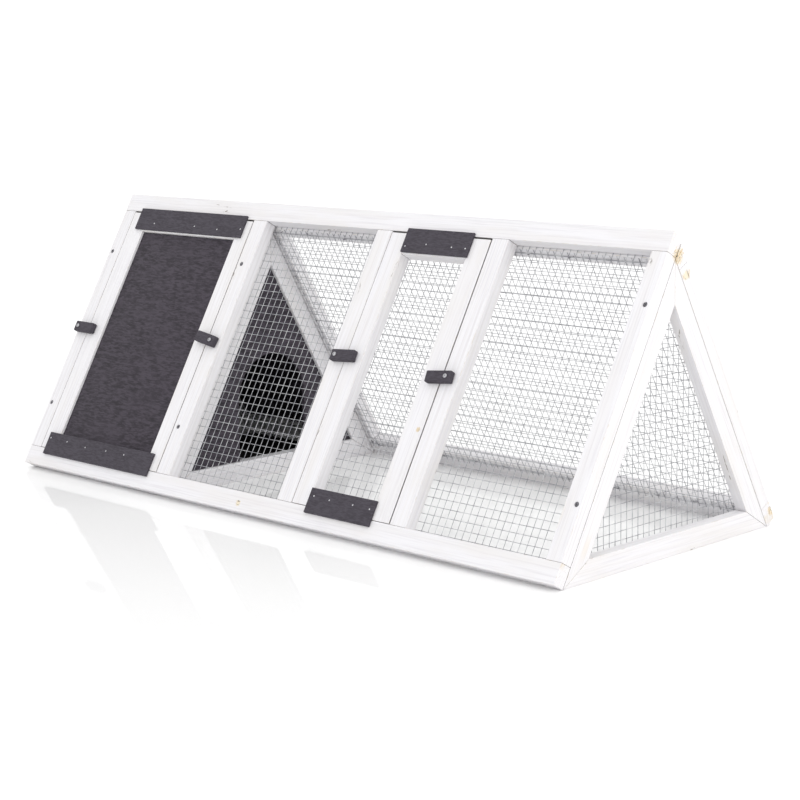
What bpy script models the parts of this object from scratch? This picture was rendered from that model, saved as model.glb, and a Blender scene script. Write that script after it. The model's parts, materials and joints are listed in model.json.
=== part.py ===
"""A triangular rabbit hutch with a sleeping room, a wire run and two lift-off doors.

Two sloping lath frames lean on three upright triangular frames: one at each end and a
partition between the sleeping room and the run. The front frame carries two inset doors,
each held by two wooden turn buttons. There is no floor: the hutch stands on grass.

Units are metres, +Z is up, +X runs along the ridge and the front faces -Y. The origin is
on the ground under the middle of the hutch. Each sloping side is modelled flat in its own
frame: x along the hutch, y up the slope from the lower outer edge, z out of the outer face.
"""

import math

import bmesh
import bpy
from mathutils import Matrix

# Overall
LENGTH = 1.180
BASE_WIDTH = 0.509          # between the lower outer edges of the two sloping sides
SLOPE = math.radians(60.4)
RIDGE_SHORT = 0.0047        # front frame's top edge, short of where the outer faces would meet

# Fits
TOUCH = 0.0003              # between pieces that are glued, nailed or laid together
FRAME_FIT = 0.0008          # between a sloping side and the triangles inside it
SCREW_FIT = 0.0003
DOOR_LEFT_FIT = 0.0009       # each door hangs a little low and to the left in its opening
SLEEPING_DOOR_RIGHT_FIT = 0.0016
MESH_DOOR_RIGHT_FIT = 0.0022
DOOR_TOP_FIT = 0.0028
DOOR_BOTTOM_FIT = 0.0008

# Laths of the sloping sides
LATH = 0.021
RAIL = 0.0314
END_STILE = 0.0270
POST = 0.0315
DOOR_POST = 0.0315
BACK_TOP_RAIL = 0.0289      # outer face, below its bevel

# Triangular frames
TRIANGLE_LATH = 0.0185
TRIANGLE_SIDE = 0.0305
TRIANGLE_BASE = 0.0315
PANEL = 0.006
PANEL_SETBACK = 0.005
PARTITION_INSET = 0.0005    # from the left edge of the post that it stands behind

# Bays and doors along the front, from the left
SLEEPING_DOOR = 0.3115
FIRST_BAY = 0.2560
MESH_DOOR = 0.2021
SLEEPING_LEFT_STILE = 0.0396
SLEEPING_RIGHT_STILE = 0.0299
MESH_LEFT_STILE = 0.0346
MESH_RIGHT_STILE = 0.0365
DOOR_TOP_RAIL = 0.0342
DOOR_BOTTOM_RAIL = 0.0257
DOOR_PANEL_SETBACK = 0.004

# Battens: dark boards nailed over the top and bottom of each door
BATTEN_THICK = 0.004
BATTEN = 0.0390
TOP_BATTEN_LAP = 0.0043     # over the frame's top rail
BOTTOM_BATTEN_LAP = 0.0105  # over the frame's bottom rail
SLEEPING_TOP_BATTEN_INSETS = (0.0216, 0.0139)
SLEEPING_BOTTOM_BATTEN_INSETS = (0.0165, 0.0162)
MESH_BATTEN_INSETS = (0.0348, 0.0328)

# Wire mesh, as flat sheets of this thickness
MESH = 0.0016
MESH_LAP = 0.014
DOOR_MESH_LAP = 0.012

# Turn buttons
BUTTON_LENGTH = 0.047
BUTTON_WIDTH = 0.018
BUTTON_THICK = 0.010
BUTTON_TAIL = 0.009         # from the pivot to the near end
BUTTON_LIFT = 0.0004
BUTTON_EDGE = 0.0018
FIRST_PIVOT_INSET = 0.0105  # from the hutch's left end
PARTITION_PIVOT_INSET = 0.0170
DOOR_PIVOT_INSET = 0.0137
# name, pivot above the middle of the opening, turn away from level
BUTTONS = (
    ("sleeping_door_left_button", -0.0027, -0.5),
    ("sleeping_door_right_button", 0.0055, -8.2),
    ("mesh_door_left_button", 0.0113, 4.1),
    ("mesh_door_right_button", 0.0022, 6.1),
)

# Screws: radii and lengths
FRAME_SCREW_HEAD = 0.0034
FRAME_SCREW_HEAD_DEEP = 0.0026
FRAME_SCREW_SHANK = 0.0018
FRAME_SCREW_BITE = 0.0222   # into the triangle's slanted rail
FRAME_SCREW_SUNK = 0.0004
FRAME_SCREW_INSETS = (0.0806, 0.0792)   # from the lower and the upper end of the stile
END_SCREW_INSET = 0.0078
PIVOT_HEAD = 0.0034
PIVOT_HEAD_TALL = 0.0020
PIVOT_SHANK = 0.0018
PIVOT_SPARE = 0.0040        # post left behind the screw's tip

# Arched doorway in the partition
ARCH_HALF_WIDTH = 0.0735
ARCH_RIM = 0.0356           # least board between the arch and the slanted rails
ARCH_STEPS = 24

ROUND_STEPS = 16

# Worked out from the sizes above
SPRING_ANGLE = math.pi - 2 * SLOPE                      # between the two sides at the ridge
OUTER_MEET = BASE_WIDTH / 2 / math.cos(SLOPE)           # where the outer faces would meet
FRONT_RISE = OUTER_MEET - RIDGE_SHORT                   # height of the front frame up the slope
RIDGE_FIT = MESH + 2 * TOUCH                            # front frame to back frame, at the ridge
STAND_OFF = LATH * math.cos(SLOPE)                      # lower outer edge above the ground
OPENING_LOW = RAIL
OPENING_HIGH = FRONT_RISE - RAIL
OPENING_MIDDLE = (OPENING_LOW + OPENING_HIGH) / 2
SLEEPING_DOOR_LEFT = END_STILE + DOOR_LEFT_FIT
PARTITION_POST_LEFT = SLEEPING_DOOR_LEFT + SLEEPING_DOOR + SLEEPING_DOOR_RIGHT_FIT
DOOR_LEFT_POST_LEFT = PARTITION_POST_LEFT + POST + FIRST_BAY
MESH_DOOR_LEFT = DOOR_LEFT_POST_LEFT + DOOR_POST + DOOR_LEFT_FIT
DOOR_RIGHT_POST_LEFT = MESH_DOOR_LEFT + MESH_DOOR + MESH_DOOR_RIGHT_FIT
PARTITION_LEFT = PARTITION_POST_LEFT + PARTITION_INSET
PARTITION_RIGHT = PARTITION_LEFT + TRIANGLE_LATH
RUN_END = LENGTH - TRIANGLE_LATH
SIDE_DEPTH = LATH + FRAME_FIT                           # outer face to the triangles
INNER_DEPTH = SIDE_DEPTH + TRIANGLE_SIDE
PIVOT_DEEP = LATH - PIVOT_SPARE
FRAME_SCREW_LENGTH = SIDE_DEPTH + FRAME_SCREW_BITE - FRAME_SCREW_SUNK
FRAME_SCREW_HEIGHTS = (OPENING_LOW + FRAME_SCREW_INSETS[0], OPENING_HIGH - FRAME_SCREW_INSETS[1])

# Turns an outline's x, its y and its thickness into y, z and x
ALONG = Matrix(((0, 0, 1, 0), (1, 0, 0, 0), (0, 1, 0, 0), (0, 0, 0, 1)))


def remove_everything():
    for piece in list(bpy.data.objects):
        bpy.data.objects.remove(piece, do_unlink=True)


def new_collection(name):
    group = bpy.data.collections.new(name)
    bpy.context.scene.collection.children.link(group)
    return group


def finish(name, colour, roughness, metallic=0.0):
    material = bpy.data.materials.new(name)
    material.use_nodes = True
    shader = material.node_tree.nodes["Principled BSDF"]
    shader.inputs["Base Color"].default_value = (*colour, 1.0)
    shader.inputs["Roughness"].default_value = roughness
    shader.inputs["Metallic"].default_value = metallic
    return material


remove_everything()
HUTCH = new_collection("rabbit_hutch")
CUTTERS = new_collection("cutters")
WHITE = finish("white_painted_lath", (0.86, 0.86, 0.88), 0.55)
DARK = finish("anthracite_painted_board", (0.045, 0.042, 0.05), 0.6)
WIRE = finish("galvanised_mesh", (0.25, 0.25, 0.26), 0.45, 0.8)
ZINC = finish("zinc_screw", (0.62, 0.62, 0.63), 0.3, 1.0)
BLACK_SCREW = finish("black_screw", (0.03, 0.03, 0.035), 0.4, 0.6)


def keep_in(piece, group):
    for holder in list(piece.users_collection):
        holder.objects.unlink(piece)
    group.objects.link(piece)


def place(piece, name, parent, material):
    piece.name = name
    piece.data.name = name
    piece.parent = parent
    piece.data.materials.clear()
    piece.data.materials.append(material)
    keep_in(piece, HUTCH)
    return piece


def stand(name, location, rotation=(0.0, 0.0, 0.0), parent=None):
    """An empty that carries pieces modelled in its own frame."""
    empty = bpy.data.objects.new(name, None)
    empty.location = location
    empty.rotation_euler = rotation
    empty.parent = parent
    HUTCH.objects.link(empty)
    return empty


def block(name, parent, low, high, material):
    """A straight lath or board between two corners, in its parent's frame."""
    bpy.ops.mesh.primitive_cube_add(size=1)
    piece = bpy.context.object
    size = [b - a for a, b in zip(low, high)]
    piece.data.transform(Matrix.Diagonal((*size, 1.0)))
    piece.location = [(a + b) / 2 for a, b in zip(low, high)]
    return place(piece, name, parent, material)


def plate(name, parent, outline, low, high, material):
    """A flat outline in its parent's x and y, as a solid from z = low to z = high."""
    curve = bpy.data.curves.new(name, "CURVE")
    curve.dimensions = "2D"
    curve.fill_mode = "BOTH"
    curve.extrude = (high - low) / 2
    line = curve.splines.new("POLY")
    line.points.add(len(outline) - 1)
    for point, (x, y) in zip(line.points, outline):
        point.co = (x, y, 0.0, 1.0)
    line.use_cyclic_u = True
    flat = bpy.data.objects.new(name, curve)
    HUTCH.objects.link(flat)
    bpy.context.view_layer.update()
    shape = flat.evaluated_get(bpy.context.evaluated_depsgraph_get())
    mesh = bpy.data.meshes.new_from_object(shape)
    bpy.data.objects.remove(flat)
    work = bmesh.new()
    work.from_mesh(mesh)
    bmesh.ops.remove_doubles(work, verts=work.verts, dist=1e-6)
    bmesh.ops.recalc_face_normals(work, faces=work.faces)
    work.to_mesh(mesh)
    work.free()
    mesh.transform(Matrix.Translation((0, 0, (low + high) / 2)))
    return place(bpy.data.objects.new(name, mesh), name, parent, material)


def turned(name, parent, location, profile, material=None):
    """A round piece about z from a profile of (radius, height) that runs down its outside."""
    mesh = bpy.data.meshes.new(name)
    mesh.from_pydata([(r, 0.0, z) for r, z in profile],
                     [(i, i + 1) for i in range(len(profile) - 1)], [])
    piece = bpy.data.objects.new(name, mesh)
    piece.location = location
    spin = piece.modifiers.new("turn", "SCREW")
    spin.steps = ROUND_STEPS
    spin.render_steps = ROUND_STEPS
    spin.use_merge_vertices = True
    spin.merge_threshold = 0.00005
    spin.use_smooth_shade = True
    if material:
        return place(piece, name, parent, material)
    piece.parent = parent
    CUTTERS.objects.link(piece)
    piece.hide_render = True
    piece.display_type = "WIRE"
    return piece


def cut(piece, cutter):
    hole = piece.modifiers.new(cutter.name, "BOOLEAN")
    hole.operation = "DIFFERENCE"
    hole.solver = "EXACT"
    hole.object = cutter


# Sloping sides ---------------------------------------------------------------------

def sloping_side(name, heading):
    """The frame of one sloping side: heading 0 faces -Y, half a turn faces +Y."""
    turn = Matrix.Rotation(heading, 4, "Z")
    corner = turn @ Matrix.Translation((-LENGTH / 2, -BASE_WIDTH / 2, STAND_OFF))
    return stand(name, corner.translation, (SLOPE, 0.0, heading))


FRONT = sloping_side("front_side", 0.0)
BACK = sloping_side("back_side", math.pi)


def ridge_cut(depth, front_depth):
    """How far up the back slope a plane of the front frame cuts a plane of the back one."""
    along = front_depth + depth * math.cos(SPRING_ANGLE)
    return OUTER_MEET - along / math.sin(SPRING_ANGLE)


def upright(name, side, left, width, top):
    return block(name, side, (left, OPENING_LOW + TOUCH, -LATH),
                 (left + width, top - TOUCH, 0.0), WHITE)


def front_frame():
    block("front_bottom_rail", FRONT, (0, 0, -LATH), (LENGTH, RAIL, 0), WHITE)
    block("front_top_rail", FRONT, (0, OPENING_HIGH, -LATH), (LENGTH, FRONT_RISE, 0), WHITE)
    uprights = {
        "front_left_stile": (0.0, END_STILE),
        "front_partition_post": (PARTITION_POST_LEFT, POST),
        "front_door_left_post": (DOOR_LEFT_POST_LEFT, DOOR_POST),
        "front_door_right_post": (DOOR_RIGHT_POST_LEFT, DOOR_POST),
        "front_right_stile": (LENGTH - END_STILE, END_STILE),
    }
    return {name: upright(name, FRONT, left, width, OPENING_HIGH)
            for name, (left, width) in uprights.items()}


def back_frame():
    """The back frame is lower: its top rail is bevelled to lie against the front frame."""
    bevel = LATH + RIDGE_FIT
    outer_top = ridge_cut(0.0, bevel)
    inner_top = ridge_cut(LATH, bevel)
    rail_low = outer_top - BACK_TOP_RAIL
    block("back_bottom_rail", BACK, (0, 0, -LATH), (LENGTH, RAIL, 0), WHITE)
    section = [(rail_low, 0), (rail_low, -LATH), (inner_top, -LATH), (outer_top, 0)]
    rail = plate("back_top_rail", BACK, section, 0.0, LENGTH, WHITE)
    rail.data.transform(ALONG)
    upright("back_right_stile", BACK, 0.0, END_STILE, rail_low)
    upright("back_partition_post", BACK, LENGTH - PARTITION_POST_LEFT - POST, POST, rail_low)
    upright("back_left_stile", BACK, LENGTH - END_STILE, END_STILE, rail_low)
    return rail_low, inner_top


# Triangular frames -----------------------------------------------------------------

def half_width(depth, height):
    """Half the width at a height, between planes this deep inside the outer faces."""
    return BASE_WIDTH / 2 - depth / math.sin(SLOPE) - (height - STAND_OFF) / math.tan(SLOPE)


def peak(depth):
    return STAND_OFF + (BASE_WIDTH / 2 - depth / math.sin(SLOPE)) * math.tan(SLOPE)


def upright_frame(name, left):
    """The frame of a triangle: its x is +Y, its y is up and its z is +X from its left face."""
    return stand(name, (left - LENGTH / 2, 0, 0), (math.pi / 2, 0.0, math.pi / 2))


def triangle(name, left):
    """Two slanted rails that meet in an upright mitre, and a base rail mitred between."""
    frame = upright_frame(name + "_frame", left)
    foot, heel = half_width(SIDE_DEPTH, 0), half_width(INNER_DEPTH, TRIANGLE_BASE)
    mitre = math.atan2(TRIANGLE_BASE, foot - heel)
    step = TOUCH / math.sin(mitre)
    base = [(-foot + step, 0), (foot - step, 0),
            (heel - step, TRIANGLE_BASE), (-heel + step, TRIANGLE_BASE)]
    plate(name + "_bottom_rail", frame, base, 0, TRIANGLE_LATH, WHITE)
    half = TOUCH / 2
    drop = half * math.tan(SLOPE)
    rails = {}
    for side, y in (("front", -1), ("back", 1)):
        slant = [(y * foot, 0), (y * half, peak(SIDE_DEPTH) - drop),
                 (y * half, peak(INNER_DEPTH) - drop), (y * heel, TRIANGLE_BASE)]
        label = name + "_" + side + "_rail"
        rails[side] = plate(label, frame, slant, 0, TRIANGLE_LATH, WHITE)
    return frame, rails


def panel_outline(depth, low):
    return [(-half_width(depth, low), low), (half_width(depth, low), low), (0, peak(depth))]


def arch_outline(depth, low):
    """The partition's panel: a triangle with an arched doorway down to its base."""
    spring = peak(depth) - (ARCH_HALF_WIDTH + ARCH_RIM) / math.cos(SLOPE)
    arch = [(ARCH_HALF_WIDTH, low)]
    for step in range(ARCH_STEPS + 1):
        turn = math.pi * step / ARCH_STEPS
        arch.append((ARCH_HALF_WIDTH * math.cos(turn), spring + ARCH_HALF_WIDTH * math.sin(turn)))
    arch.append((-ARCH_HALF_WIDTH, low))
    wide = half_width(depth, low)
    return [(wide, low), (0, peak(depth)), (-wide, low), *reversed(arch)]


def ends_and_partition():
    left, left_rails = triangle("left_end", 0.0)
    middle, middle_rails = triangle("partition", PARTITION_LEFT)
    right, right_rails = triangle("right_end", LENGTH - TRIANGLE_LATH)
    depth, low = INNER_DEPTH + TOUCH, TRIANGLE_BASE + TOUCH
    plate("left_end_panel", left, panel_outline(depth, low),
          PANEL_SETBACK, PANEL_SETBACK + PANEL, DARK)
    face = TRIANGLE_LATH - PANEL_SETBACK
    plate("partition_panel", middle, arch_outline(depth, low), face - PANEL, face, DARK)
    mesh_outline = panel_outline(INNER_DEPTH - MESH_LAP, TRIANGLE_BASE - MESH_LAP)
    plate("right_end_mesh", right, mesh_outline, -TOUCH - MESH, -TOUCH, WIRE)
    return left_rails["front"], middle_rails["front"], right_rails["front"]


# Fixed panel and wire mesh of the sides ----------------------------------------------

def side_fillings(back_rail_low, back_inner_top):
    room_left = END_STILE + TOUCH
    back_panel_right = LENGTH - room_left
    block("back_panel", BACK,
          (LENGTH - PARTITION_POST_LEFT + TOUCH, OPENING_LOW + TOUCH, -PANEL_SETBACK - PANEL),
          (back_panel_right, back_rail_low - TOUCH, -PANEL_SETBACK), DARK)
    low = OPENING_LOW - MESH_LAP
    near, far = -LATH - TOUCH, -LATH - TOUCH - MESH
    first = PARTITION_RIGHT + FRAME_FIT
    last = RUN_END - FRAME_FIT
    high = OPENING_HIGH + MESH_LAP - RIDGE_FIT
    block("front_first_bay_mesh", FRONT, (first, low, far),
          (DOOR_LEFT_POST_LEFT + MESH_LAP, high, near), WIRE)
    block("front_second_bay_mesh", FRONT, (DOOR_RIGHT_POST_LEFT + DOOR_POST - MESH_LAP, low, far),
          (last, high, near), WIRE)
    meet = ridge_cut(LATH + TOUCH + MESH, LATH + 2 * TOUCH + MESH)
    block("back_mesh", BACK, (LENGTH - last, low, far),
          (LENGTH - first, min(back_inner_top, meet) - TOUCH, near), WIRE)


# Doors -----------------------------------------------------------------------------

def door(name, left, width, left_stile, right_stile):
    """Stiles and rails of one door, in a frame at its lower left corner."""
    low, high = OPENING_LOW + DOOR_BOTTOM_FIT, OPENING_HIGH - DOOR_TOP_FIT
    tall = high - low
    leaf = stand(name, (left, low, 0), parent=FRONT)
    block(name + "_left_stile", leaf, (0, 0, -LATH), (left_stile, tall, 0), WHITE)
    block(name + "_right_stile", leaf, (width - right_stile, 0, -LATH), (width, tall, 0), WHITE)
    inner = (left_stile + TOUCH, width - right_stile - TOUCH)
    block(name + "_bottom_rail", leaf, (inner[0], 0, -LATH), (inner[1], DOOR_BOTTOM_RAIL, 0), WHITE)
    block(name + "_top_rail", leaf, (inner[0], tall - DOOR_TOP_RAIL, -LATH),
          (inner[1], tall, 0), WHITE)
    return leaf, tall, inner


def battens(name, leaf, tall, width, top_insets, bottom_insets):
    """Two boards on the door's face. Each laps over the frame and keeps the door from falling in."""
    top = tall + DOOR_TOP_FIT + TOP_BATTEN_LAP
    bottom = -DOOR_BOTTOM_FIT - BOTTOM_BATTEN_LAP
    near, far = TOUCH, TOUCH + BATTEN_THICK
    block(name + "_top_batten", leaf, (top_insets[0], top - BATTEN, near),
          (width - top_insets[1], top, far), DARK)
    block(name + "_bottom_batten", leaf, (bottom_insets[0], bottom, near),
          (width - bottom_insets[1], bottom + BATTEN, far), DARK)


def sleeping_door():
    leaf, tall, inner = door("sleeping_door", SLEEPING_DOOR_LEFT, SLEEPING_DOOR,
                             SLEEPING_LEFT_STILE, SLEEPING_RIGHT_STILE)
    block("sleeping_door_panel", leaf,
          (inner[0], DOOR_BOTTOM_RAIL + TOUCH, -DOOR_PANEL_SETBACK - PANEL),
          (inner[1], tall - DOOR_TOP_RAIL - TOUCH, -DOOR_PANEL_SETBACK), DARK)
    battens("sleeping_door", leaf, tall, SLEEPING_DOOR,
            SLEEPING_TOP_BATTEN_INSETS, SLEEPING_BOTTOM_BATTEN_INSETS)


def mesh_door():
    leaf, tall, inner = door("mesh_door", MESH_DOOR_LEFT, MESH_DOOR,
                             MESH_LEFT_STILE, MESH_RIGHT_STILE)
    block("mesh_door_mesh", leaf,
          (inner[0] - DOOR_MESH_LAP, DOOR_BOTTOM_RAIL - DOOR_MESH_LAP, -LATH - TOUCH - MESH),
          (inner[1] + DOOR_MESH_LAP, tall - DOOR_TOP_RAIL + DOOR_MESH_LAP, -LATH - TOUCH), WIRE)
    battens("mesh_door", leaf, tall, MESH_DOOR, MESH_BATTEN_INSETS, MESH_BATTEN_INSETS)


# Turn buttons and screws -----------------------------------------------------------

def turn_button(name, x, y, tilt, post):
    """A small wooden bar on a screw in the post; at tilt 0 it points to +x."""
    pivot = stand(name + "_pivot", (x, y, 0), (0, 0, tilt), parent=FRONT)
    top = BUTTON_LIFT + BUTTON_THICK
    bar = block(name, pivot, (-BUTTON_TAIL, -BUTTON_WIDTH / 2, BUTTON_LIFT),
                (BUTTON_LENGTH - BUTTON_TAIL, BUTTON_WIDTH / 2, top), DARK)
    bar.data.transform(Matrix.Translation(bar.location))
    bar.location = (0, 0, 0)
    edge = bar.modifiers.new("edge", "BEVEL")
    edge.width = BUTTON_EDGE
    edge.segments = 2
    seat = top + TOUCH
    head = [(0, seat + PIVOT_HEAD_TALL), (0.55 * PIVOT_HEAD, seat + 0.9 * PIVOT_HEAD_TALL),
            (PIVOT_HEAD, seat + 0.3 * PIVOT_HEAD_TALL), (PIVOT_HEAD, seat),
            (PIVOT_SHANK, seat), (PIVOT_SHANK, -PIVOT_DEEP + PIVOT_SHANK), (0, -PIVOT_DEEP)]
    turned(name + "_screw", pivot, (0, 0, 0), head, ZINC)
    wall = PIVOT_SHANK + SCREW_FIT
    hole = turned(name + "_hole", pivot, (0, 0, 0),
                  [(0, top + PIVOT_SHANK), (wall, top + PIVOT_SHANK),
                   (wall, -PIVOT_DEEP - SCREW_FIT), (0, -PIVOT_DEEP - SCREW_FIT)])
    cut(bar, hole)
    cut(post, hole)


def frame_screw(name, x, y, stile, triangle_rail):
    """A countersunk screw through a stile into the slanted rail of a triangle."""
    spot = (x, y, -FRAME_SCREW_SUNK)
    cone, tip = -FRAME_SCREW_HEAD_DEEP, -FRAME_SCREW_LENGTH
    shape = [(0, 0), (FRAME_SCREW_HEAD, 0), (FRAME_SCREW_SHANK, cone),
             (FRAME_SCREW_SHANK, tip + 2 * FRAME_SCREW_SHANK), (0, tip)]
    turned(name, FRONT, spot, shape, BLACK_SCREW)
    head, shank = FRAME_SCREW_HEAD + 2 * SCREW_FIT, FRAME_SCREW_SHANK + SCREW_FIT
    room = [(0, LATH), (head, LATH), (head, -SCREW_FIT / 2), (shank, cone - SCREW_FIT),
            (shank, tip - SCREW_FIT), (0, tip - SCREW_FIT)]
    hole = turned(name + "_hole", FRONT, spot, room)
    cut(stile, hole)
    cut(triangle_rail, hole)


def fastenings(uprights, triangle_rails):
    columns = (
        ("left", END_SCREW_INSET, uprights["front_left_stile"], triangle_rails[0]),
        ("partition", (PARTITION_LEFT + PARTITION_RIGHT) / 2,
         uprights["front_partition_post"], triangle_rails[1]),
        ("right", LENGTH - END_SCREW_INSET, uprights["front_right_stile"], triangle_rails[2]),
    )
    for label, x, stile, rail in columns:
        for level, y in zip(("lower", "upper"), FRAME_SCREW_HEIGHTS):
            frame_screw("front_" + label + "_" + level + "_screw", x, y, stile, rail)


def turn_buttons(uprights):
    places = (
        (FIRST_PIVOT_INSET, 0, uprights["front_left_stile"]),
        (PARTITION_POST_LEFT + PARTITION_PIVOT_INSET, math.pi, uprights["front_partition_post"]),
        (DOOR_LEFT_POST_LEFT + DOOR_POST - DOOR_PIVOT_INSET, 0, uprights["front_door_left_post"]),
        (DOOR_RIGHT_POST_LEFT + DOOR_PIVOT_INSET, math.pi, uprights["front_door_right_post"]),
    )
    for (name, rise, tilt), (x, heading, post) in zip(BUTTONS, places):
        turn_button(name, x, OPENING_MIDDLE + rise, heading + math.radians(tilt), post)


front_uprights = front_frame()
rail_low_edge, rail_inner_top = back_frame()
front_triangle_rails = ends_and_partition()
side_fillings(rail_low_edge, rail_inner_top)
sleeping_door()
mesh_door()
turn_buttons(front_uprights)
fastenings(front_uprights, front_triangle_rails)
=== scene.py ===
"""A triangular rabbit hutch: white painted spruce laths, anthracite boards and galvanised mesh.

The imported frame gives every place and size. Each lath and board is finished here with eased
arrises, its own run of grain and its paint; each flat mesh sheet becomes a lattice of welded
wire; nails, staples and screw heads are added where the frame's pieces say they belong.
Everything is in metres, in the frame's own axes: +X along the ridge, +Z up, the doors on -Y.
"""

import json
import math
import random
from functools import partial

import bmesh
import bpy
from mathutils import Matrix, Vector, noise
from mathutils.bvhtree import BVHTree


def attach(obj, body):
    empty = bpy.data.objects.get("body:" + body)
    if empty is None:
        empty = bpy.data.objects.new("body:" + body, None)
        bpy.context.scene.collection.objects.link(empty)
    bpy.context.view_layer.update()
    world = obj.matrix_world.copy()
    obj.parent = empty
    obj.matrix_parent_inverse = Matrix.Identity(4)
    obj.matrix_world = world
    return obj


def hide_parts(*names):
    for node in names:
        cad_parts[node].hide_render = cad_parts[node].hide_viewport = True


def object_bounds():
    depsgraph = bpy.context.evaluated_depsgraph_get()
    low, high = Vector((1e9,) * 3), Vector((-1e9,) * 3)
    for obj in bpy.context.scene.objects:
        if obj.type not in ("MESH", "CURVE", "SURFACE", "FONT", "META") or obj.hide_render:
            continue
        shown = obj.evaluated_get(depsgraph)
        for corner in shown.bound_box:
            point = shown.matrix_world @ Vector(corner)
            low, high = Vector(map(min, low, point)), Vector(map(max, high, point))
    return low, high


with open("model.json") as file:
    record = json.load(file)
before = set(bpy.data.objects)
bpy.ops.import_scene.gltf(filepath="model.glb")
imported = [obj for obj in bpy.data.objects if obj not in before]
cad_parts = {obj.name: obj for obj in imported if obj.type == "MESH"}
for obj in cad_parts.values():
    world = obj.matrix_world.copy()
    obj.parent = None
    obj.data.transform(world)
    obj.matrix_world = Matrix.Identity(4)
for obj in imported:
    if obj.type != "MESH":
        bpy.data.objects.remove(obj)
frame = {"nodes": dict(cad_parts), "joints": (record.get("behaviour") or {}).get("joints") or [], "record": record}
cad_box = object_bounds()

NODES = frame["nodes"]
MM = 0.001
WELD = 0.02 * MM            # doubles in the frame's loose triangles

# Timber
LATH_EASE = 0.6 * MM        # rounding that planing and sanding leave on a lath
BOARD_EASE = 0.35 * MM
LONG_EDGE = 10 * MM         # shorter edges are screw holes and stay as they are
CORNER = math.radians(20)   # a blunter edge than this isn't an arris
GAP_SHADE_REACH = 4 * MM               # laths closer than this face each other across a gap whose sides get painted shade
DOOR_GAP_SHADE = 0.6             # how dark the painted shade is on the sides of a gap that opens with a door

# Welded mesh
WIRE = 0.9 * MM
PITCH = 12.7 * MM           # half-inch mesh
WIRE_STEP = 2 * PITCH       # one bend in the wire every two welds
MESH_WANDER = 0.2 * MM      # how far the wires leave their straight line
MESH_BULGE = 1.6 * MM       # how far a sheet stands inwards between its laths
MESH_SEED = 1               # unseeded, vector noise is drawn from the clock on each run
noise.seed_set(MESH_SEED)

# Fixings
STAPLE_CROWN = 9.0 * MM
STAPLE_WIRE = 1.0 * MM
STAPLE_SPACING = 78 * MM
STAPLE_LEG = 3.2 * MM       # how far a leg goes into the lath
STAPLE_INSET = 7 * MM       # from the edge of the sheet
NAIL_HEAD = 1.3 * MM        # radius
NAIL_DOME = 0.35 * MM
PAN_HEAD_RISE = 2.0 * MM
BACK_HEAD_PROUD = 0.1 * MM
RECESS = 0.55               # a cross recess, as a share of the screw head's radius


# Places -------------------------------------------------------------------------------

OUT_FRONT = Vector(next(j["axis"] for j in frame["joints"] if j["name"] == "sleeping_door_lift"))
ALONG = Vector((1, 0, 0))
UP = Vector((0, 0, 1))
UP_FRONT = OUT_FRONT.cross(ALONG).normalized()
UP_BACK = Vector((0, -UP_FRONT.y, UP_FRONT.z))
OUT_BACK = Vector((0, -OUT_FRONT.y, OUT_FRONT.z))


def axes_of(x, y, z, origin=(0, 0, 0)):
    """A frame whose columns are three unit vectors, as a 4x4 matrix."""
    turn = Matrix((x, y, z)).transposed().to_4x4()
    return Matrix.Translation(origin) @ turn


FRONT = axes_of(ALONG, UP_FRONT, OUT_FRONT)
BACK = axes_of(-ALONG, UP_BACK, OUT_BACK)
RIGHT_END = axes_of(Vector((0, 1, 0)), UP, ALONG)


def span(piece, side):
    """Lowest and highest corner of a node in a side's own axes."""
    turn = side.inverted()
    corners = [turn @ v.co for v in NODES[piece].data.vertices]
    low = Vector([min(c[i] for c in corners) for i in range(3)])
    high = Vector([max(c[i] for c in corners) for i in range(3)])
    return low, high


def body_of(piece):
    return next(body for body, names in frame["record"]["behaviour"]["bodies"].items()
                if piece in names)


# Materials ----------------------------------------------------------------------------

def linear(code):
    """An sRGB hex colour as linear RGBA."""
    parts = [int(code[i:i + 2], 16) / 255 for i in (1, 3, 5)]
    return (*[c / 12.92 if c <= 0.04045 else ((c + 0.055) / 1.055) ** 2.4 for c in parts], 1.0)


def node(tree, kind, inputs=None, out=0, **settings):
    """Adds one node with its settings and links and gives one of its outputs."""
    made = tree.nodes.new(kind)
    for name, value in settings.items():
        setattr(made, name, value)
    for name, value in (inputs or {}).items():
        if isinstance(value, bpy.types.NodeSocket):
            tree.links.new(value, made.inputs[name])
        else:
            made.inputs[name].default_value = value
    return made.outputs[out]


def material_of(name, colour, roughness, metallic=0.0):
    material = bpy.data.materials.new(name)
    material.use_nodes = True
    shader = material.node_tree.nodes["Principled BSDF"]
    shader.inputs["Base Color"].default_value = linear(colour)
    shader.inputs["Roughness"].default_value = roughness
    shader.inputs["Metallic"].default_value = metallic
    return material, material.node_tree, shader


def along_grain(tree, along, across):
    """Grain coordinates in which one noise cell is this long and this wide."""
    grain = node(tree, "ShaderNodeAttribute", out="Vector", attribute_name="grain")
    return node(tree, "ShaderNodeMapping", {"Vector": grain,
                                            "Scale": (1 / along, 1 / across, 1 / across)})


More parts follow.
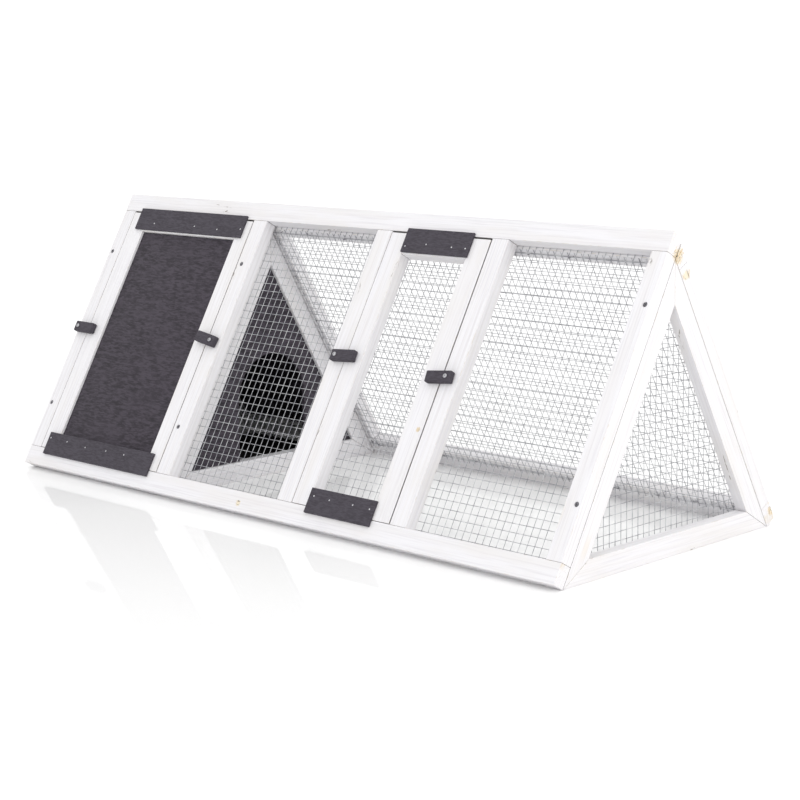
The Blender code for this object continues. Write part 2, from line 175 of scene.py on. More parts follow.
def raw_spots(tree, speck):
    """1 where this hutch shows raw wood: the ridge's end, the back foot and two knots."""
    right = cad_box[1].x
    ridge = span("back_top_rail", RIGHT_END)[1]
    foot = span("back_bottom_rail", RIGHT_END)[1]
    door = span("mesh_door_right_stile", FRONT)
    rail = span("front_bottom_rail", FRONT)
    spots = (
        ((right, ridge.x - 22 * MM, ridge.y - 16 * MM), 12 * MM),
        ((right, ridge.x - 2 * MM, ridge.y - 44 * MM), 8 * MM),
        ((right, foot.x - 9 * MM, foot.y - 14 * MM), 8 * MM),
        (FRONT @ Vector((door[0].x + 28 * MM, door[0].y + 143 * MM, door[1].z)), 4 * MM),
        (FRONT @ Vector((rail[0].x + 550 * MM, rail[0].y + 13 * MM, rail[1].z)), 5 * MM),
    )
    add = partial(node, tree)
    place = add("ShaderNodeTexCoord", out="Object")
    worn = None
    for spot, reach in spots:
        gap = add("ShaderNodeVectorMath", {0: place, 1: spot}, out="Value", operation="DISTANCE")
        gap = add("ShaderNodeMath", {0: speck, 1: reach * 2, 2: gap}, operation="MULTIPLY_ADD")
        mask = add("ShaderNodeMapRange", {"Value": gap, "From Min": reach * 2.2,
                                          "From Max": reach * 1.6}, interpolation_type="SMOOTHSTEP")
        worn = mask if worn is None else add("ShaderNodeMath", {0: worn, 1: mask},
                                             operation="MAXIMUM")
    return worn


def white_paint():
    """Water-based white on planed spruce: a thin satin film. Fibres and growth rings show
    through as faint streaks, knots bleed yellow, and arrises and cut ends are worn or raw."""
    material, tree, shader = material_of("white_painted_spruce", "#E6E5E8", 0.5)
    add = partial(node, tree)
    smooth = {"interpolation_type": "SMOOTHSTEP"}
    colours = {"data_type": "RGBA"}

    fibre = add("ShaderNodeTexNoise", {"Vector": along_grain(tree, 120 * MM, 2.4 * MM),
                                       "Scale": 1.0, "Detail": 6.0, "Roughness": 0.6})
    cloud = add("ShaderNodeTexNoise", {"Vector": along_grain(tree, 130 * MM, 34 * MM),
                                       "Scale": 1.0, "Detail": 3.0})
    speck = add("ShaderNodeTexNoise", {"Vector": along_grain(tree, 9 * MM, 2.6 * MM),
                                       "Scale": 1.0, "Detail": 4.0})
    rings = add("ShaderNodeTexWave", {"Vector": along_grain(tree, 700 * MM, 26 * MM),
                                      "Scale": 1.3, "Distortion": 4.0, "Detail": 3.0},
                wave_type="RINGS", rings_direction="X")

    # Fibres and the summer wood of the growth rings, faint under the paint
    streak = add("ShaderNodeMapRange", {"Value": fibre, "From Min": 0.55, "From Max": 0.32},
                 **smooth)
    colour = add("ShaderNodeMix", {0: streak, 6: linear("#E8E7EA"), 7: linear("#DCDADE")},
                 out=2, **colours)
    ring = add("ShaderNodeMath", {0: rings, 1: 0.22}, operation="MULTIPLY")
    colour = add("ShaderNodeMix", {0: ring, 6: colour, 7: linear("#DBD7D4")}, out=2, **colours)
    thin = add("ShaderNodeMapRange", {"Value": cloud, "From Min": 0.46, "From Max": 0.70,
                                      "To Max": 0.5}, **smooth)
    colour = add("ShaderNodeMix", {0: thin, 6: colour, 7: linear("#E1DEDC")}, out=2, **colours)

    # A knot every so often along a lath, bleeding yellow through the paint
    cell = add("ShaderNodeTexVoronoi", {"Vector": along_grain(tree, 150 * MM, 46 * MM),
                                        "Scale": 1.0, "Randomness": 0.9}).node
    share = add("ShaderNodeSeparateColor", {"Color": cell.outputs["Color"]})
    some = add("ShaderNodeMath", {0: share, 1: 0.84}, operation="GREATER_THAN")
    stain = add("ShaderNodeMapRange", {"Value": cell.outputs["Distance"], "From Min": 0.20,
                                       "From Max": 0.03, "To Max": 0.22}, **smooth)
    stain = add("ShaderNodeMath", {0: stain, 1: some}, operation="MULTIPLY")
    colour = add("ShaderNodeMix", {0: stain, 6: colour, 7: linear("#D9C59C")}, out=2, **colours)

    # Short splits along the grain where the wood had dried out
    split = add("ShaderNodeTexVoronoi", {"Vector": along_grain(tree, 90 * MM, 17 * MM),
                                         "Scale": 1.0}, feature="DISTANCE_TO_EDGE")
    split = add("ShaderNodeMapRange", {"Value": split, "From Min": 0.030, "From Max": 0.010},
                **smooth)
    dry = add("ShaderNodeMapRange", {"Value": cloud, "From Min": 0.66, "From Max": 0.72}, **smooth)
    short = add("ShaderNodeMapRange", {"Value": speck, "From Min": 0.46, "From Max": 0.56},
                **smooth)
    split = add("ShaderNodeMath", {0: split, 1: dry}, operation="MULTIPLY")
    split = add("ShaderNodeMath", {0: split, 1: short}, operation="MULTIPLY")
    colour = add("ShaderNodeMix", {0: split, 6: colour, 7: linear("#7C7368")}, out=2, **colours)

    # Arrises rubbed nearly bare in places, and cut ends that drank the paint
    arris = add("ShaderNodeAttribute", out="Fac", attribute_name="arris")
    rub = add("ShaderNodeMapRange", {"Value": speck, "From Min": 0.50, "From Max": 0.64,
                                     "To Max": 0.45}, **smooth)
    rub = add("ShaderNodeMath", {0: rub, 1: arris}, operation="MULTIPLY")
    colour = add("ShaderNodeMix", {0: rub, 6: colour, 7: linear("#C9BCA6")}, out=2, **colours)
    raw = add("ShaderNodeMix", {0: rings, 6: linear("#E6D9BD"), 7: linear("#C9AE7E")}, out=2,
              **colours)
    cut_end = add("ShaderNodeAttribute", out="Fac", attribute_name="cut_end")
    thirst = add("ShaderNodeMapRange", {"Value": cloud, "From Min": 0.52, "From Max": 0.64,
                                        "To Max": 0.35}, **smooth)
    thirst = add("ShaderNodeMath", {0: thirst, 1: cut_end}, operation="MULTIPLY")
    colour = add("ShaderNodeMix", {0: thirst, 6: colour, 7: raw}, out=2, **colours)

    # Raw spots with dark splits, and painted shade on the sides of laths that face each other across a gap
    worn = raw_spots(tree, speck)
    bare = add("ShaderNodeMath", {0: worn, 1: 0.8}, operation="MULTIPLY")
    colour = add("ShaderNodeMix", {0: bare, 6: colour, 7: raw}, out=2, **colours)
    crack = add("ShaderNodeTexVoronoi", {"Vector": along_grain(tree, 34 * MM, 7 * MM),
                                         "Scale": 1.0}, feature="DISTANCE_TO_EDGE")
    crack = add("ShaderNodeMapRange", {"Value": crack, "From Min": 0.09, "From Max": 0.04},
                **smooth)
    crack = add("ShaderNodeMath", {0: crack, 1: worn}, operation="MULTIPLY")
    crack = add("ShaderNodeMath", {0: crack, 1: short}, operation="MULTIPLY")
    colour = add("ShaderNodeMix", {0: crack, 6: colour, 7: linear("#4A4238")}, out=2, **colours)
    # Painted shade: the sides of a narrow gap are darkened as if in shadow
    painted_gap_shade = add("ShaderNodeAttribute", out="Fac", attribute_name="painted_gap_shade")
    colour = add("ShaderNodeMix", {0: painted_gap_shade, 6: colour, 7: linear("#4B4644")}, out=2, **colours)
    tree.links.new(colour, shader.inputs["Base Color"])

    gloss = add("ShaderNodeMapRange", {"Value": cloud, "From Min": 0.35, "From Max": 0.7,
                                       "To Min": 0.44, "To Max": 0.6})
    tree.links.new(gloss, shader.inputs["Roughness"])
    relief = add("ShaderNodeMath", {0: rings, 1: 0.25, 2: fibre}, operation="MULTIPLY_ADD")
    relief = add("ShaderNodeMath", {0: split, 1: -0.8, 2: relief}, operation="MULTIPLY_ADD")
    bump = add("ShaderNodeBump", {"Height": relief, "Strength": 0.5, "Distance": 0.35 * MM})
    tree.links.new(bump, shader.inputs["Normal"])
    return material


def anthracite_stain(name, ripple, light, dark, relief):
    """Anthracite stain on a thin board: matte, with the raised grain as short level ripples."""
    material, tree, shader = material_of(name, light, 0.72)
    shader.inputs["Specular IOR Level"].default_value = 0.3
    add = partial(node, tree)
    smooth = {"interpolation_type": "SMOOTHSTEP"}
    colours = {"data_type": "RGBA"}

    fine = add("ShaderNodeTexNoise", {"Vector": along_grain(tree, ripple * 4.5, ripple),
                                      "Scale": 1.0, "Detail": 4.0, "Roughness": 0.6,
                                      "Distortion": 0.5})
    wave = add("ShaderNodeTexNoise", {"Vector": along_grain(tree, ripple * 9, ripple * 3),
                                      "Scale": 1.0, "Detail": 2.0, "Distortion": 1.0})
    cloud = add("ShaderNodeTexNoise", {"Vector": along_grain(tree, 90 * MM, 50 * MM),
                                       "Scale": 1.0, "Detail": 3.0})
    height = add("ShaderNodeMath", {0: wave, 1: 0.5, 2: fine}, operation="MULTIPLY_ADD")
    crest = add("ShaderNodeMapRange", {"Value": height, "From Min": 0.60, "From Max": 0.88},
                **smooth)
    colour = add("ShaderNodeMix", {0: crest, 6: linear(dark), 7: linear(light)}, out=2, **colours)
    pale = add("ShaderNodeMapRange", {"Value": cloud, "From Min": 0.42, "From Max": 0.72,
                                      "To Max": 0.35}, **smooth)
    colour = add("ShaderNodeMix", {0: pale, 6: colour, 7: linear(light)}, out=2, **colours)
    arris = add("ShaderNodeAttribute", out="Fac", attribute_name="arris")
    rub = add("ShaderNodeMapRange", {"Value": fine, "From Min": 0.5, "From Max": 0.68,
                                     "To Max": 0.3}, **smooth)
    rub = add("ShaderNodeMath", {0: rub, 1: arris}, operation="MULTIPLY")
    colour = add("ShaderNodeMix", {0: rub, 6: colour, 7: linear("#7C7881")}, out=2, **colours)
    tree.links.new(colour, shader.inputs["Base Color"])
    gloss = add("ShaderNodeMapRange", {"Value": height, "From Min": 0.5, "From Max": 1.0,
                                       "To Min": 0.8, "To Max": 0.66})
    tree.links.new(gloss, shader.inputs["Roughness"])
    bump = add("ShaderNodeBump", {"Height": height, "Strength": 0.6, "Distance": relief})
    tree.links.new(bump, shader.inputs["Normal"])
    return material


def plated_steel(name, light, dark, patch, dull, bright, metallic=1.0):
    """Zinc or oxide on steel: a crystalline bloom, bright where it is fresh and dull elsewhere.
    The bloom is drawn a few times coarser than real zinc crystals, so that it shows."""
    material, tree, shader = material_of(name, light, bright, metallic)
    add = partial(node, tree)
    place = add("ShaderNodeTexCoord", out="Object")
    bloom = add("ShaderNodeTexNoise", {"Vector": place, "Scale": 1 / patch, "Detail": 3.0})
    fresh = add("ShaderNodeMapRange", {"Value": bloom, "From Min": 0.35, "From Max": 0.68},
                interpolation_type="SMOOTHSTEP")
    colour = add("ShaderNodeMix", {0: fresh, 6: linear(dark), 7: linear(light)}, out=2,
                 data_type="RGBA")
    tree.links.new(colour, shader.inputs["Base Color"])
    gloss = add("ShaderNodeMapRange", {"Value": bloom, "From Min": 0.3, "From Max": 0.7,
                                       "To Min": dull, "To Max": bright})
    tree.links.new(gloss, shader.inputs["Roughness"])
    return material


PAINT = white_paint()
PLYWOOD = anthracite_stain("anthracite_stained_plywood", 2.6 * MM, "#453F48", "#2F2B31",
                           0.7 * MM)
# Battens and buttons are sawn softwood: paler, with less relief than the plywood's face
BATTEN = anthracite_stain("anthracite_stained_batten", 2.0 * MM, "#48444C", "#3C383F", 0.25 * MM)
# Hot-dip zinc turns partly to pale oxide in the open: half metallic, and matt
MESH_WIRE = plated_steel("galvanised_steel_wire", "#C6C7C9", "#94959A", 14 * MM, 0.58, 0.38,
                         metallic=0.55)
# Electroplated nail heads glint; the button screws are duller from handling
BRIGHT_ZINC = plated_steel("bright_zinc_plate", "#E3E3E5", "#B9B9BC", 1.5 * MM, 0.4, 0.26)
# Blackened screws look dark grey with a soft highlight; staples are plain drawn wire
BLACK_OXIDE = plated_steel("black_oxide_steel", "#8C8B90", "#5A595E", 1.5 * MM, 0.5, 0.36)
DULL_ZINC = plated_steel("dull_zinc_plate", "#D0D0D3", "#98989C", 1.5 * MM, 0.46, 0.32)
STAPLE_STEEL = plated_steel("staple_steel", "#8E8E92", "#5E5E62", 3 * MM, 0.45, 0.35)


# Pieces -------------------------------------------------------------------------------

def keep(name, shape, material, body, slot, *stands_for):
    """Turns a finished bmesh into a piece of the hutch that rides on a body."""
    mesh = bpy.data.meshes.new(name)
    shape.to_mesh(mesh)
    shape.free()
    return keep_mesh(name, mesh, material, body, slot, *stands_for)


def keep_mesh(name, mesh, material, body, slot, *stands_for):
    mesh.materials.clear()
    mesh.materials.append(material)
    piece = bpy.data.objects.new(name, mesh)
    bpy.context.scene.collection.objects.link(piece)
    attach(piece, body)
    if stands_for:
        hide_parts(*stands_for)
    return piece


def timber(name, along, out, material, slot, ease, neighbours=()):
    """A lath or board of the frame with eased arrises and its own run of grain. Sides that
    face a neighbour across a narrow gap are marked for painted shade."""
    shape = bmesh.new()
    shape.from_mesh(NODES[name].data)
    arris = shape.faces.layers.float.new("arris")
    cut_end = shape.faces.layers.float.new("cut_end")
    painted_gap_shade = shape.faces.layers.float.new("painted_gap_shade")
    grain = shape.verts.layers.float_vector.new("grain")
    bmesh.ops.remove_doubles(shape, verts=shape.verts, dist=WELD)
    bmesh.ops.dissolve_limit(shape, angle_limit=math.radians(0.5),
                             verts=shape.verts, edges=shape.edges)
    if ease:
        edges = [e for e in shape.edges if len(e.link_faces) == 2
                 and e.calc_length() > LONG_EDGE and e.calc_face_angle(0) > CORNER]
        eased = bmesh.ops.bevel(shape, geom=edges, affect="EDGES", offset=ease, segments=2,
                                profile=0.5, material=-1)
        for face in eased["faces"]:
            face[arris] = 1.0
    mark_painted_gap_shade(name, shape, painted_gap_shade, arris, along, out, neighbours)
    for face in shape.faces:
        face[cut_end] = 1.0 if abs(face.normal.dot(along)) > 0.9 else 0.0
    draw = random.Random(name)
    shift = Vector([draw.uniform(0, 5) for _ in range(3)])
    turn = Matrix((along, out.cross(along), out))
    for vertex in shape.verts:
        vertex[grain] = turn @ vertex.co + shift
    return keep(name + "_finished", shape, material, body_of(name), slot, name)


def mark_painted_gap_shade(name, shape, painted_gap_shade, arris, along, out, neighbours):
    """Cuts the long sides where a neighbour begins or ends, then marks the sides of narrow gaps for painted shade.
    """
    others = [n for n in neighbours if n != name]
    if not others:
        return
    own = [v.co.dot(along) for v in shape.verts]
    stops_at = set()
    for other in others:
        ends = [v.co.dot(along) for v in NODES[other].data.vertices]
        stops_at |= {round(e, 4) for e in (min(ends), max(ends))
                     if min(own) + MM < e < max(own) - MM}
    for stop in sorted(stops_at):
        bmesh.ops.bisect_plane(shape, geom=shape.verts[:] + shape.edges[:] + shape.faces[:],
                               dist=WELD, plane_co=along * stop, plane_no=along)
    fixed = [n for n in others if body_of(n) == body_of(name)]
    moving = [n for n in others if n not in fixed]
    walls = [(BVHTree.FromPolygons(*all_faces(names)), dark)
             for names, dark in ((moving, DOOR_GAP_SHADE), (fixed, 1.0))]
    for face in shape.faces:
        if abs(face.normal.dot(out)) > 0.5 or face[arris]:
            continue
        start = face.calc_center_median() + face.normal * 0.01 * MM
        # Painted shade: full dark beside a fixed neighbour, less beside one that moves with a door
        face[painted_gap_shade] = max([dark for wall, dark in walls
                          if wall.ray_cast(start, face.normal, GAP_SHADE_REACH)[0]], default=0.0)


def all_faces(names):
    """The vertices and faces of several nodes as one list of each."""
    points, faces = [], []
    for name in names:
        mesh, first = NODES[name].data, len(points)
        points += [v.co.copy() for v in mesh.vertices]
        faces += [[first + i for i in p.vertices] for p in mesh.polygons]
    return points, faces


def laths():
    """Every white lath, with its grain along its own length."""
    across = Vector((0, 1, 0))
    groups = (
        (("front_bottom_rail", "front_top_rail"), ALONG, OUT_FRONT),
        (("front_left_stile", "front_partition_post", "front_door_left_post",
          "front_door_right_post", "front_right_stile"), UP_FRONT, OUT_FRONT),
        (("back_bottom_rail", "back_top_rail"), ALONG, OUT_BACK),
        (("back_left_stile", "back_partition_post", "back_right_stile"), UP_BACK, OUT_BACK),
        (("left_end_bottom_rail", "partition_bottom_rail", "right_end_bottom_rail"),
         across, ALONG),
        (("left_end_front_rail", "partition_front_rail", "right_end_front_rail"),
         UP_FRONT, ALONG),
        (("left_end_back_rail", "partition_back_rail", "right_end_back_rail"),
         UP_BACK, ALONG),
        (("sleeping_door_left_stile", "sleeping_door_right_stile",
          "mesh_door_left_stile", "mesh_door_right_stile"), UP_FRONT, OUT_FRONT),
        (("sleeping_door_bottom_rail", "sleeping_door_top_rail",
          "mesh_door_bottom_rail", "mesh_door_top_rail"), ALONG, OUT_FRONT),
    )
    every_lath = [name for names, _, _ in groups for name in names]
    for names, along, out in groups:
        for name in names:
            timber(name, along, out, PAINT, "white_lath", LATH_EASE, every_lath)


def boards():
    """The plywood panels, their grain lying level, and the battens."""
    level = Vector((0, 1, 0))
    timber("sleeping_door_panel", ALONG, OUT_FRONT, PLYWOOD, "dark_board", BOARD_EASE)
    timber("back_panel", ALONG, OUT_BACK, PLYWOOD, "dark_board", BOARD_EASE)
    timber("left_end_panel", level, ALONG, PLYWOOD, "dark_board", BOARD_EASE)
    timber("partition_panel", level, ALONG, PLYWOOD, "dark_board", BOARD_EASE)
    for door in ("sleeping_door", "mesh_door"):
        for place in ("top", "bottom"):
            timber(door + "_" + place + "_batten", ALONG, OUT_FRONT, BATTEN,
                   "dark_board", BOARD_EASE)


# Welded mesh --------------------------------------------------------------------------

def wander(point, reach):
    """Where a weld really sits: the sheet was cut from a roll and pulled by hand."""
    slow = noise.noise_vector(point * 9.0)
    quick = noise.noise_vector(point * 45.0 + Vector((7, 3, 5)))
    return (slow * 0.8 + quick * 0.35) * reach


def stretch(start, end, step):
    """Evenly spaced stops from start to end, about one step apart."""
    count = max(1, round((end - start) / step))
    return [start + (end - start) * i / count for i in range(count + 1)]


def stops(low, high, through):
    """Wire positions one pitch apart, counted from one that lies at through."""
    first = math.ceil((low + WIRE - through) / PITCH)
    last = math.floor((high - WIRE - through) / PITCH)
    return [through + i * PITCH for i in range(first, last + 1)]


class Gable:
    """The outline of a triangular sheet: its half-width by height and height by distance."""

    def __init__(self, name, side):
        low, high = span(name, side)
        self.middle = (low.x + high.x) / 2
        self.base = (high.x - low.x) / 2
        self.low, self.high = low.y, high.y

    def half_at(self, height):
        return self.base * (self.high - height) / (self.high - self.low)

    def height_at(self, across):
        share = abs(across - self.middle) / self.base
        return self.high - share * (self.high - self.low)


def lattice(name, sheet, side, gable=None):
    """A sheet of welded wire in place of a flat node, cut to a triangle for a gable."""
    low, high = span(sheet, side)
    middle, depth = (low + high) / 2, high.z - low.z
    layer = depth / 2 - WIRE / 2

    def place(u, v, level):
        s = (u - low.x) / (high.x - low.x)
        t = (v - low.y) / (high.y - low.y)
        slack = max(0.0, math.sin(math.pi * s) * math.sin(math.pi * t))
        point = Vector((u, v, 0))
        off = wander(point + middle, MESH_WANDER)
        swell = 0.5 + 0.5 * noise.noise(point * 6.0 + middle)
        inwards = slack ** 0.6 * (MESH_BULGE * swell + abs(off.z))
        slip = slack ** 0.3
        return side @ Vector((u + off.x * slip, v + off.y * slip, middle.z + level - inwards))

    runs = []
    for u in stops(low.x, high.x, middle.x):
        top = high.y if gable is None else min(high.y, gable.height_at(u))
        if top - low.y > PITCH / 2:
            runs.append([place(u, v, layer) for v in stretch(low.y, top, WIRE_STEP)])
    for v in stops(low.y, high.y, low.y + PITCH / 2):
        half = (high.x - low.x) / 2 if gable is None else gable.half_at(v)
        if half > PITCH / 2:
            runs.append([place(u, v, -layer)
                         for u in stretch(middle.x - half, middle.x + half, WIRE_STEP)])
    return wires(name, runs, WIRE, MESH_WIRE, body_of(sheet), "wire_mesh", sheet)


def wires(name, runs, thick, material, body, slot, *stands_for):
    """Round wire along each run of points, as one mesh."""
    curve = bpy.data.curves.new(name, "CURVE")
    curve.dimensions = "3D"
    curve.bevel_depth = thick / 2
    curve.bevel_resolution = 1
    curve.use_fill_caps = True
    for run in runs:
        line = curve.splines.new("POLY")
        line.points.add(len(run) - 1)
        for point, at in zip(line.points, run):
            point.co = (*at, 1.0)
    drawn = bpy.data.objects.new(name + "_line", curve)
    bpy.context.scene.collection.objects.link(drawn)
    bpy.context.view_layer.update()
    ready = drawn.evaluated_get(bpy.context.evaluated_depsgraph_get())
    mesh = bpy.data.meshes.new_from_object(ready)
    bpy.data.objects.remove(drawn)
    mesh.name = name
    shape = bmesh.new()
    shape.from_mesh(mesh)
    bmesh.ops.remove_doubles(shape, verts=shape.verts, dist=0.01 * MM)
    shape.to_mesh(mesh)
    shape.free()
    mesh.shade_smooth()
    return keep_mesh(name, mesh, material, body, slot, *stands_for)


def meshes():
    lattice("first_bay_wire", "front_first_bay_mesh", FRONT)
    lattice("second_bay_wire", "front_second_bay_mesh", FRONT)
    lattice("mesh_door_wire", "mesh_door_mesh", FRONT)
    lattice("back_wire", "back_mesh", BACK)
    lattice("right_end_wire", "right_end_mesh", RIGHT_END, Gable("right_end_mesh", RIGHT_END))


# Fixings ------------------------------------------------------------------------------

def staple(side, at, across):
    """The run of one staple: a leg in the wood, the crown over the wires, a leg back."""
    half = across.normalized() * STAPLE_CROWN / 2
    sink = Vector((0, 0, STAPLE_LEG))
    points = (at - half + sink, at - half * 0.97, at + half * 0.97, at + half + sink)
    return [side @ p for p in points]


def staples(name, sheet, side, body):
    """Staples along a sheet's four edges, on its inner face, slightly askew."""
    low, high = span(sheet, side)
    inset = STAPLE_INSET
    level = low.z - STAPLE_WIRE / 2
    draw = random.Random(name)
    runs = []
    for u in stretch(low.x + 3 * inset, high.x - 3 * inset, STAPLE_SPACING):
        for v in (low.y + inset, high.y - inset):
            lean = Vector((1, draw.uniform(-0.35, 0.35), 0))
            at = Vector((u + draw.uniform(-8, 8) * MM, v + draw.uniform(-2, 2) * MM, level))
            runs.append(staple(side, at, lean))
    for v in stretch(low.y + 3 * inset, high.y - 3 * inset, STAPLE_SPACING):
        for u in (low.x + inset, high.x - inset):
            lean = Vector((draw.uniform(-0.35, 0.35), 1, 0))
            at = Vector((u + draw.uniform(-2, 2) * MM, v + draw.uniform(-8, 8) * MM, level))
            runs.append(staple(side, at, lean))
    return wires(name, runs, STAPLE_WIRE, STAPLE_STEEL, body, "zinc_screw")


def nail_heads(name, batten, places):
    """Small domed nail heads on a batten; a place is right of its left end, above its edge."""
    low, high = span(batten, FRONT)
    shape = bmesh.new()
    for right, above in places:
        head = bmesh.ops.create_uvsphere(shape, u_segments=12, v_segments=6, radius=1.0)
        spot = Vector((low.x + right * MM, low.y + above * MM, high.z))
        size = Matrix.Diagonal((NAIL_HEAD, NAIL_HEAD, NAIL_DOME, 1.0))
        bmesh.ops.transform(shape, matrix=FRONT @ Matrix.Translation(spot) @ size,
                            verts=head["verts"])
    piece = keep(name, shape, BRIGHT_ZINC, body_of(batten), "zinc_screw")
    piece.data.shade_smooth()
    return piece


def nails():
    nail_heads("sleeping_door_top_nails", "sleeping_door_top_batten",
               ((47.3, 12.3), (154.4, 13.0), (214.2, 10.8), (271.3, 14.6)))
    nail_heads("sleeping_door_bottom_nails", "sleeping_door_bottom_batten",
               ((6.2, 28.8), (52.7, 27.6), (104.8, 24.6), (160.2, 26.3), (208.1, 26.4)))
    nail_heads("mesh_door_top_nails", "mesh_door_top_batten",
               ((6.2, 9.2), (47.9, 14.4), (100.2, 13.2), (127.9, 12.8)))
    nail_heads("mesh_door_bottom_nails", "mesh_door_bottom_batten",
               ((9.8, 26.8), (43.0, 25.2), (91.7, 25.6), (126.2, 25.0)))


def turned(profile, steps=28):
    """A round solid about z from (radius, height) points, from its axis to its axis."""
    shape = bmesh.new()
    ring = [shape.verts.new((r, 0, z)) for r, z in profile]
    edges = [shape.edges.new(pair) for pair in zip(ring, ring[1:])]
    bmesh.ops.spin(shape, geom=ring + edges, cent=(0, 0, 0), axis=(0, 0, 1), dvec=(0, 0, 0),
                   angle=2 * math.pi, steps=steps, use_merge=True, use_duplicate=False)
    bmesh.ops.remove_doubles(shape, verts=shape.verts, dist=0.001 * MM)
    bmesh.ops.recalc_face_normals(shape, faces=shape.faces)
    return shape


def with_cross_recess(shape, radius, top, deep):
    """Cuts a tapered cross into the head of a turned screw and returns its mesh."""
    body = bpy.data.objects.new("screw_blank", bpy.data.meshes.new("screw_blank"))
    shape.to_mesh(body.data)
    shape.free()
    bpy.context.scene.collection.objects.link(body)
    cutters = []
    for quarter in range(2):
        blade = bmesh.new()
        bmesh.ops.create_cone(blade, cap_ends=True, segments=4, radius1=0.35, radius2=1.0,
                              depth=1.0)
        bmesh.ops.rotate(blade, verts=blade.verts, matrix=Matrix.Rotation(math.pi / 4, 3, "Z"))
        bmesh.ops.scale(blade, verts=blade.verts,
                        vec=(radius * RECESS * 1.414, radius * 0.16 * 1.414, deep * 2))
        bmesh.ops.rotate(blade, verts=blade.verts,
                         matrix=Matrix.Rotation(math.pi / 2 * quarter, 3, "Z"))
        bmesh.ops.translate(blade, verts=blade.verts, vec=(0, 0, top))
        cutter = bpy.data.objects.new("recess", bpy.data.meshes.new("recess"))
        blade.to_mesh(cutter.data)
        blade.free()
        bpy.context.scene.collection.objects.link(cutter)
        hole = body.modifiers.new("recess", "BOOLEAN")
        hole.object = cutter
        cutters.append(cutter)
    bpy.context.view_layer.update()
    ready = body.evaluated_get(bpy.context.evaluated_depsgraph_get())
    mesh = bpy.data.meshes.new_from_object(ready)
    for used in (body, *cutters):
        bpy.data.objects.remove(used)
    return mesh


def screw(name, blank, at, turn, material, slot, *stands_for):
    """A copy of a finished screw, stood on a spot of its side and turned."""
    mesh = blank.copy()
    mesh.transform(at @ Matrix.Rotation(turn, 4, "Z"))
    mesh.shade_smooth()
    mesh.set_sharp_from_angle(angle=math.radians(35))
    return keep_mesh(name, mesh, material, "hutch_frame", slot, *stands_for)


def pan_head():
    r, h, shank, deep = 3.4 * MM, PAN_HEAD_RISE, 1.7 * MM, 14 * MM
    profile = [(0, h), (0.45 * r, 0.97 * h), (0.78 * r, 0.8 * h), (0.95 * r, 0.5 * h),
               (r, 0.2 * h), (0.97 * r, 0), (shank, 0), (shank, -deep + shank), (0, -deep)]
    return with_cross_recess(turned(profile), r, h, 1.3 * MM)


def flat_head():
    r, deep, shank = 3.3 * MM, 2.4 * MM, 1.7 * MM
    profile = [(0, 0), (0.93 * r, 0), (r, -0.15 * MM), (shank, -deep), (shank, -12 * MM),
               (0, -13 * MM)]
    return with_cross_recess(turned(profile), r, 0, 1.3 * MM)


def centre_top(name, side):
    low, high = span(name, side)
    return Vector(((low.x + high.x) / 2, (low.y + high.y) / 2, high.z))


def screws():
    draw = random.Random("screws")
    pan, flat = pan_head(), flat_head()
    for name in sorted(NODES):
        if name.endswith("_button_screw"):
            top = centre_top(name, FRONT) - Vector((0, 0, PAN_HEAD_RISE))
            screw(name + "_finished", pan, FRONT @ Matrix.Translation(top), draw.uniform(0, 1.5),
                  DULL_ZINC, "zinc_screw", name)
        elif name.endswith(("_lower_screw", "_upper_screw")):
            top = centre_top(name, FRONT)
            screw(name + "_finished", flat, FRONT @ Matrix.Translation(top), draw.uniform(0, 1.5),
                  BLACK_OXIDE, "black_screw", name)
    back_screws(flat, draw)


def back_screws(flat, draw):
    """The back side is screwed to the triangles at the same heights as the front."""
    face = span("back_left_stile", BACK)[1].z
    for side_name, triangle in (("left", "left_end"), ("partition", "partition"),
                                ("right", "right_end")):
        rail = span(triangle + "_back_rail", BACK)
        across = (rail[0].x + rail[1].x) / 2
        for level in ("lower", "upper"):
            height = centre_top("front_" + side_name + "_" + level + "_screw", FRONT).y
            height -= span("front_bottom_rail", FRONT)[0].y
            height += span("back_bottom_rail", BACK)[0].y
            spot = BACK @ Matrix.Translation((across, height, face + BACK_HEAD_PROUD))
            screw("back_" + side_name + "_" + level + "_screw", flat, spot, draw.uniform(0, 1.5),
                  BLACK_OXIDE, "black_screw")


def turn_buttons():
    """Sawn bars with softened edges, stained like the battens."""
    for name in sorted(NODES):
        if name.endswith("_button"):
            timber(name, button_heading(name), OUT_FRONT, BATTEN, "dark_board", 0.0)


def button_heading(name):
    """The direction of a button's long sides, from its pivot screw to its middle."""
    heading = FRONT @ centre_top(name, FRONT) - FRONT @ centre_top(name + "_screw", FRONT)
    return (heading - OUT_FRONT * heading.dot(OUT_FRONT)).normalized()


# The room, light and camera ------------------------------------------------------------

# Where the sheet of painted shade lies under the closed sleeping room
ROOM_SHADE_WIDTH = 290 * MM
ROOM_SHADE_MIDDLE = 138 * MM   # from the left edge of the sleeping door's panel
ROOM_SHADE_INSET = 20 * MM     # from the foot of the left end
ROOM_SHADE_LIFT = 0.2 * MM


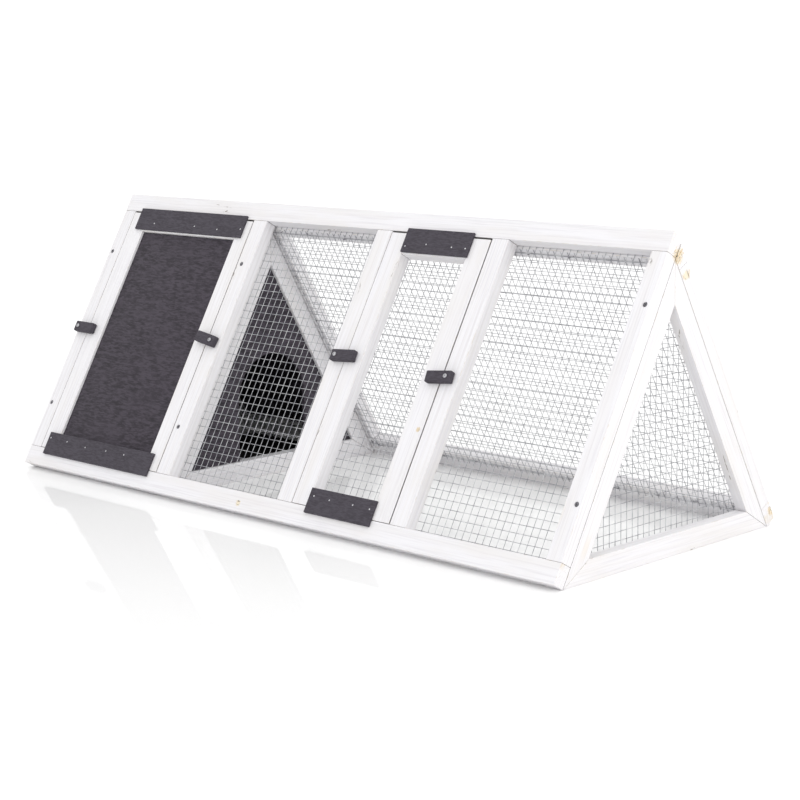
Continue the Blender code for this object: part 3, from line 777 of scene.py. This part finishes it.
def studio():
    """A pale, polished floor under broad soft light, a window on the right and a pale panel in
    front that lights the inside of the run."""
    bpy.context.scene.view_settings.view_transform = "Standard"
    bpy.ops.mesh.primitive_plane_add(size=60)
    floor = bpy.context.object
    floor.name = "studio_floor"
    material, _, shader = material_of("polished_white_floor", "#F8F8F8", 0.03)
    shader.inputs["IOR"].default_value = 1.21
    floor.data.materials.append(material)

    # A dark sheet of painted shade lies under the closed sleeping room, so that its doorway looks black
    low, _ = span("sleeping_door_panel", FRONT)
    reach = span("left_end_bottom_rail", RIGHT_END)[1].x - ROOM_SHADE_INSET
    place = (low.x + ROOM_SHADE_MIDDLE, 0, ROOM_SHADE_LIFT)
    bpy.ops.mesh.primitive_plane_add(size=1, location=place)
    room_shade = bpy.context.object
    room_shade.name = "sleeping_room_painted_shade"
    room_shade.data.transform(Matrix.Diagonal((ROOM_SHADE_WIDTH, 2 * reach, 1.0, 1.0)))
    room_shade.data.materials.append(material_of("painted_room_shade", "#141214", 0.95)[0])

    world = bpy.data.worlds.new("studio")
    world.use_nodes = True
    background = world.node_tree.nodes["Background"]
    background.inputs["Color"].default_value = linear("#FFFFFF")
    background.inputs["Strength"].default_value = 1.16
    bpy.context.scene.world = world
    soft_light("window", (3.4, -0.35, 1.1), 1.5, 22, "#FFFCF6")
    soft_light("front_panel", (0.8, -3.0, 0.9), 1.8, 6, "#FAFBFF")


def soft_light(name, place, size, power, colour):
    light = bpy.data.lights.new(name, "AREA")
    light.shape = "SQUARE"
    light.size = size
    light.energy = power
    light.color = linear(colour)[:3]
    lamp = bpy.data.objects.new(name, light)
    lamp.location = place
    lamp.rotation_euler = (-Vector(place)).to_track_quat("-Z", "Y").to_euler()
    bpy.context.scene.collection.objects.link(lamp)


def camera():
    """A long lens at knee height, off the right front corner and tipped a little down."""
    lens = bpy.data.cameras.new("camera")
    lens.lens = 87.15
    lens.sensor_width = 36
    right = Vector((0.71596, 0.69807, -0.00978)).normalized()
    ahead = Vector((-0.68866, 0.70387, -0.17410)).normalized()
    up = right.cross(ahead).normalized()
    eye = bpy.data.objects.new("camera", lens)
    eye.matrix_world = axes_of(right, up, -ahead, (2.1520, -2.1333, 0.6877))
    bpy.context.scene.collection.objects.link(eye)
    bpy.context.scene.camera = eye


laths()
boards()
meshes()
staples("first_bay_staples", "front_first_bay_mesh", FRONT, "hutch_frame")
staples("second_bay_staples", "front_second_bay_mesh", FRONT, "hutch_frame")
staples("back_staples", "back_mesh", BACK, "hutch_frame")
staples("mesh_door_staples", "mesh_door_mesh", FRONT, "mesh_door")
nails()
screws()
turn_buttons()
studio()
camera()
